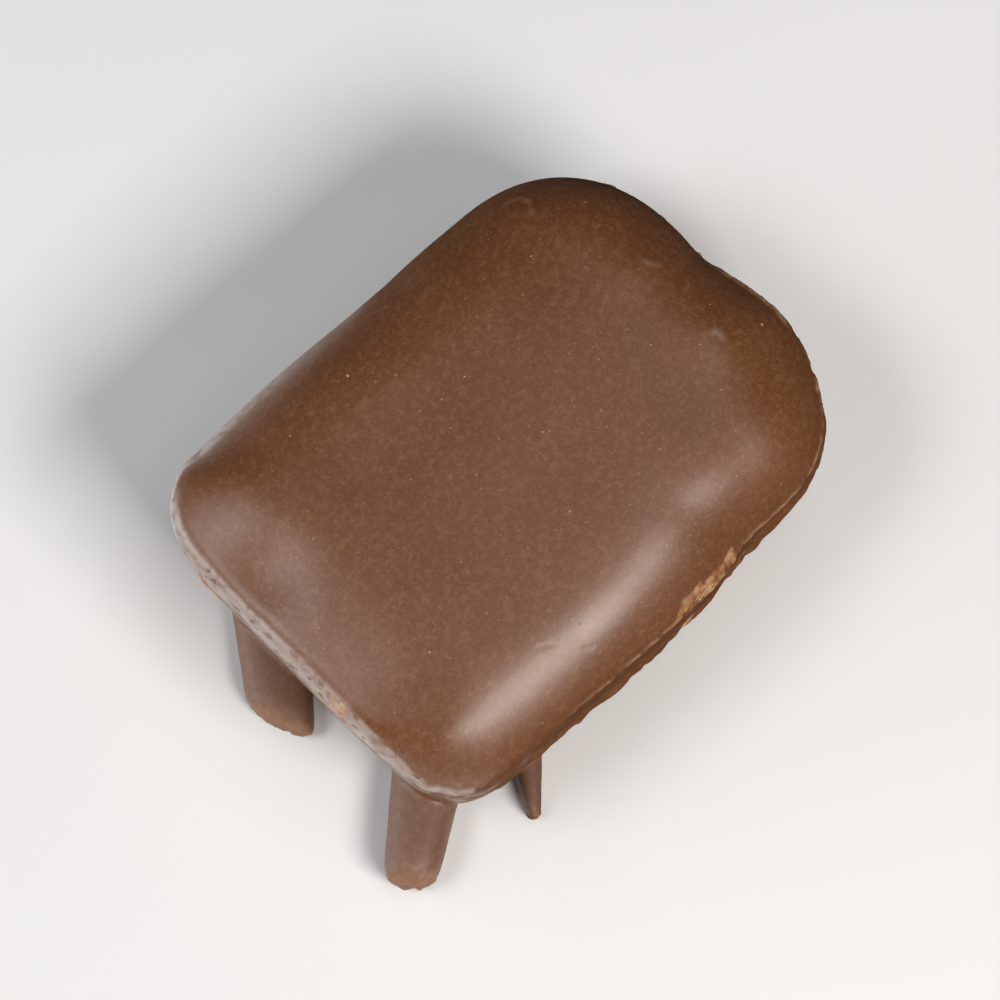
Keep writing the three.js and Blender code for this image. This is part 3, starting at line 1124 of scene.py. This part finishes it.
def grown(name, source, tree, values):
    """A plain mesh object of what a tree makes of a source object"""
    modifier = source.modifiers.new(name, "NODES")
    modifier.node_group = tree
    for item in tree.interface.items_tree:
        if item.name in values and item.in_out == "INPUT":
            modifier[item.identifier] = values[item.name]
    view = bpy.context.evaluated_depsgraph_get()
    mesh = bpy.data.meshes.new_from_object(source.evaluated_get(view), depsgraph=view)
    source.modifiers.remove(modifier)
    mesh.name = name
    return linked(name, mesh)


# Materials

def mottle_group(name, span=(0.3, 0.7), roughness=0.6):
    """Soft patches and fine grain"""
    group, given, made = node_group(
        name, "ShaderNodeTree", {"Place": VECTOR, "Patches": 200.0, "Grain": 3000.0},
        {"Patch": FLOAT, "Fine": FLOAT},
    )
    for scale, detail, output in (("Patches", 3.0, "Patch"), ("Grain", 2.0, "Fine")):
        noise = result(group, "ShaderNodeTexNoise", {
            "Vector": given["Place"], "Scale": given[scale], "Detail": detail, "Roughness": roughness,
        }, "Fac")
        group.links.new(scale_to(group, noise, *span), made[output])
    return group


def grains_group(name, finer=2.5, reach=0.5, smallest=0.4, core=0.6):
    """Sparse ragged grains of uneven size"""
    group, given, made = node_group(
        name, "ShaderNodeTree", {"Place": VECTOR, "Scale": 500.0, "Share": 0.1, "Size": 0.2}, {"Mask": FLOAT}
    )
    shift = wobble(
        group, given["Place"], arithmetic(group, "MULTIPLY", given["Scale"], finer),
        arithmetic(group, "DIVIDE", reach, given["Scale"]),
    )
    moved = vector_math(group, "ADD", {0: given["Place"], 1: shift})
    cells = node(group, "ShaderNodeTexVoronoi", {"Vector": moved, "Scale": given["Scale"]}).outputs
    lots = node(group, "ShaderNodeSeparateColor", {"Color": cells["Color"]}).outputs
    chosen = arithmetic(group, "LESS_THAN", lots["Red"], given["Share"])
    size = arithmetic(group, "MULTIPLY", given["Size"], share_to(group, lots["Green"], smallest, 1.0))
    spot = scale_to(group, cells["Distance"], size, arithmetic(group, "MULTIPLY", size, core))
    group.links.new(arithmetic(group, "MULTIPLY", chosen, spot), made["Mask"])
    return group


def shared(tree, name, make, inputs):
    """Outputs of a shader group that is made once and placed in every material that names it"""
    group = bpy.data.node_groups.get(name) or make(name)
    return node(tree, "ShaderNodeGroup", inputs, node_tree=group).outputs


def mottled(tree, place, patches, grain):
    """Patches and grain at two scales"""
    made = shared(tree, "Cocoa Mottle", mottle_group, {"Place": place, "Patches": patches, "Grain": grain})
    return made["Patch"], made["Fine"]


def grains(tree, place, kind):
    inputs = {"Place": place, "Scale": kind.scale, "Share": kind.share, "Size": kind.size}
    return shared(tree, "Pin Grains", grains_group, inputs)["Mask"]


def new_material(name):
    material = bpy.data.materials.new(name)
    material.use_nodes = True
    tree = material.node_tree
    place = result(tree, "ShaderNodeTexCoord", output="Object")
    return material, tree, tree.nodes["Principled BSDF"], place


def tinted(tree, mask, strength, colour, tint):
    """A colour mixed with a tint where a mask says so"""
    return mix_colour(tree, arithmetic(tree, "MULTIPLY", mask, strength), colour, rgba(tint))


def mark_of(tree, label):
    return result(tree, "ShaderNodeAttribute", output="Fac", attribute_name=label)


def bumped(tree, bump, height):
    return result(tree, "ShaderNodeBump", {**bump, "Height": height})


def chocolate(look):
    """Satin milk chocolate with soft patches, sandy grain, a painted pale edge, painted glints and torn
    places
    """
    material, tree, shader, place = new_material("Milk Chocolate")
    patch, fine = mottled(tree, place, COCOA.patches, COCOA.fine)
    ragged, sandy = mottled(tree, place, COCOA.ragged, COCOA.sandy)
    colour = mix_colour(tree, patch, rgba(look.deep), rgba(look.milk))
    for grain in (fine, sandy):
        mask = scale_to(tree, grain, COCOA.grain_from, 1.0)
        colour = tinted(tree, mask, COCOA.grain_strength, colour, look.speck)
    for kind in PIN_GRAINS:
        colour = tinted(tree, grains(tree, place, kind), kind.strength, colour, look.speck)
    for tint in TINTS:
        mask = mark_of(tree, tint.mark)
        if tint.begins:
            mask = scale_to(tree, mask, *tint.begins)
        if tint.gaps:
            mask = arithmetic(tree, "MULTIPLY", mask, scale_to(tree, ragged, *tint.gaps))
        colour = tinted(tree, mask, tint.strength, colour, getattr(look, tint.colour))
    satin = share_to(tree, patch, look.roughness - COCOA.uneven, look.roughness + COCOA.uneven)
    duller = share_to(tree, mark_of(tree, "dull"), 0.0, look.dullness)
    fill(tree, shader, {
        "Base Color": colour, "Roughness": arithmetic(tree, "ADD", satin, duller),
        "Normal": bumped(tree, COCOA.bump, fine),
    })
    return material


def coconut(name, first, second, patches):
    """Dry coconut of two colours in patches"""
    material, tree, shader, place = new_material(name)
    patch, fine = mottled(tree, place, patches, DRY_COCONUT.fine)
    fill(tree, shader, {
        "Base Color": mix_colour(tree, patch, rgba(first), rgba(second)),
        "Roughness": share_to(tree, fine, *DRY_COCONUT.roughness),
        "Normal": bumped(tree, DRY_COCONUT.bump, fine),
    })
    return material


def sheet_material(name, colour):
    """Matt pale paper with a trace of unevenness"""
    material, tree, shader, place = new_material(name)
    cloud = result(tree, "ShaderNodeTexNoise", {"Vector": place, **PAPER.cloud}, "Fac")
    darker = rgba([PAPER.shade * channel for channel in colour])
    fill(tree, shader, {
        "Base Color": mix_colour(tree, cloud, darker, rgba(colour)),
        "Roughness": PAPER.roughness, "Specular IOR Level": 0.0,
    })
    return material


# The stage

def level_sheet(name, corners, height, colour):
    """A level sheet at a height"""
    corners = np.insert(np.array(corners, float), 2, height, axis=1)
    sheet = mesh_object(name, corners, np.array([range(len(corners))]))
    sheet.data.materials.append(sheet_material(name.replace("_", " ").title(), colour))
    return sheet


def floor_of(look):
    floor = level_sheet("floor", FLOOR, 0.0, look.floor)
    floor.visible_glossy = False


def bounce_card_of(look):
    """A white card at the near end that only the chew mirrors"""
    card = level_sheet("bounce_card", CARD, CARD_HEIGHT, look.card)
    card.visible_camera = False
    card.visible_diffuse = False
    card.visible_shadow = False


def way_to(azimuth, elevation):
    """The way to what is seen at an azimuth, 0 at -Y and growing towards +X, and an elevation"""
    flat = math.cos(elevation)
    return Vector((math.sin(azimuth) * flat, -math.cos(azimuth) * flat, math.sin(elevation)))


def face(thing, target):
    thing.rotation_euler = (target - thing.location).to_track_quat("-Z", "Y").to_euler()


def soft_box(kind, power, colour):
    """A soft rectangular light that faces the chew"""
    name = f"{kind.name}_light"
    light = bpy.data.lights.new(name, "AREA")
    light.shape = "RECTANGLE"
    light.size, light.size_y = (side * MM for side in kind.sides)
    light.energy = power
    light.color = colour
    lamp = linked(name, light)
    way = way_to(math.radians(kind.azimuth), math.radians(kind.elevation))
    lamp.location = way * (kind.distance * MM)
    face(lamp, Vector(LIGHT_TARGET) * MM)


def lights_of(look):
    for kind in LIGHTS:
        soft_box(kind, getattr(look, kind.name), getattr(look, f"{kind.name}_colour", WHITE))
    world = bpy.data.worlds.new("White Studio")
    world.use_nodes = True
    background = world.node_tree.nodes["Background"]
    background.inputs["Color"].default_value = rgba(WHITE)
    background.inputs["Strength"].default_value = look.sky
    bpy.context.scene.world = world


def camera_of(look):
    low, high = (Vector(corner) for corner in CAD_BOX)
    middle = (low + high) / 2
    data = bpy.data.cameras.new("camera")
    data.sensor_width = SENSOR
    data.lens = SENSOR * look.distance / look.field
    data.clip_start = CLIP_START * MM
    camera = linked("camera", data)
    camera.location = middle + way_to(look.azimuth, look.elevation) * look.distance
    face(camera, middle)
    bpy.context.scene.camera = camera


# Operators

class CHEW_OT_coating(bpy.types.Operator):
    """Make the coated chew with its tails, shreds, folds and pits"""

    bl_idname = "chew.coating"
    bl_label = "Coated Chew"

    def execute(self, context):
        form = form_of(context.scene.chew_sizes)
        corners, faces, marks = chew_skin(form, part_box(NODE))
        chew = mesh_object(COATING, corners, faces, marks)
        join_base(chew.data)
        chew.data.materials.append(chocolate(context.scene.chew_coating))
        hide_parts(NODE)
        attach(chew, BODY)
        return {"FINISHED"}


class CHEW_OT_coconut(bpy.types.Operator):
    """Make the bits of coconut that show through the coating"""

    bl_idname = "chew.coconut"
    bl_label = "Coconut Bits"

    def execute(self, context):
        look = context.scene.chew_coconut
        seeds = coconut_seeds(form_of(context.scene.chew_sizes))
        material = coconut("Toasted Coconut", look.toasted, look.cream, DRY_COCONUT.bits)
        bits = grown("coconut_bits", seeds, coconut_tree(material), {})
        bpy.data.objects.remove(seeds)
        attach(bits, BODY)
        return {"FINISHED"}


class CHEW_OT_specks(bpy.types.Operator):
    """Scatter pale specks over the top"""

    bl_idname = "chew.specks"
    bl_label = "Pale Specks"

    def execute(self, context):
        look = context.scene.chew_coconut
        material = coconut("Coconut Dust", look.dust, look.toasted, DRY_COCONUT.dust)
        specks = grown("pale_specks", bpy.data.objects[COATING], specks_tree(material), {
            "Gap": look.speck_gap, "Smallest": look.smallest_speck, "Largest": look.largest_speck,
            "Seed": context.scene.chew_sizes.seed,
        })
        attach(specks, BODY)
        return {"FINISHED"}


class CHEW_OT_stage(bpy.types.Operator):
    """Make the floor, the lights and the camera"""

    bl_idname = "chew.stage"
    bl_label = "Stage"

    def execute(self, context):
        look = context.scene.chew_stage
        floor_of(look)
        bounce_card_of(look)
        lights_of(look)
        camera_of(look)
        context.scene.view_settings.view_transform = "Standard"
        return {"FINISHED"}


class VIEW3D_PT_chew(bpy.types.Panel):
    """The chew's pieces, sizes and looks"""

    bl_label = "Coconut Chew"
    bl_space_type = "VIEW_3D"
    bl_region_type = "UI"
    bl_category = "Chew"

    def draw(self, context):
        for operator in OPERATORS:
            self.layout.operator(operator.bl_idname)
        for label in GROUPS:
            group = getattr(context.scene, label)
            box = self.layout.box()
            for name in group.__annotations__:
                box.prop(group, name)


OPERATORS = (CHEW_OT_coating, CHEW_OT_coconut, CHEW_OT_specks, CHEW_OT_stage)
GROUPS = {
    "chew_sizes": ChewSizes,
    "chew_coating": CoatingLook,
    "chew_coconut": CoconutLook,
    "chew_stage": StageLook,
}
CLASSES = (*GROUPS.values(), *OPERATORS, VIEW3D_PT_chew)


def register():
    for made in CLASSES:
        bpy.utils.register_class(made)
    for name, group in GROUPS.items():
        setattr(bpy.types.Scene, name, PointerProperty(type=group))


def unregister():
    for name in GROUPS:
        delattr(bpy.types.Scene, name)
    for made in reversed(CLASSES):
        bpy.utils.unregister_class(made)


def main():
    register()
    bpy.ops.chew.coating()
    bpy.ops.chew.coconut()
    bpy.ops.chew.specks()
    bpy.ops.chew.stage()


if __name__ == "__main__":
    main()
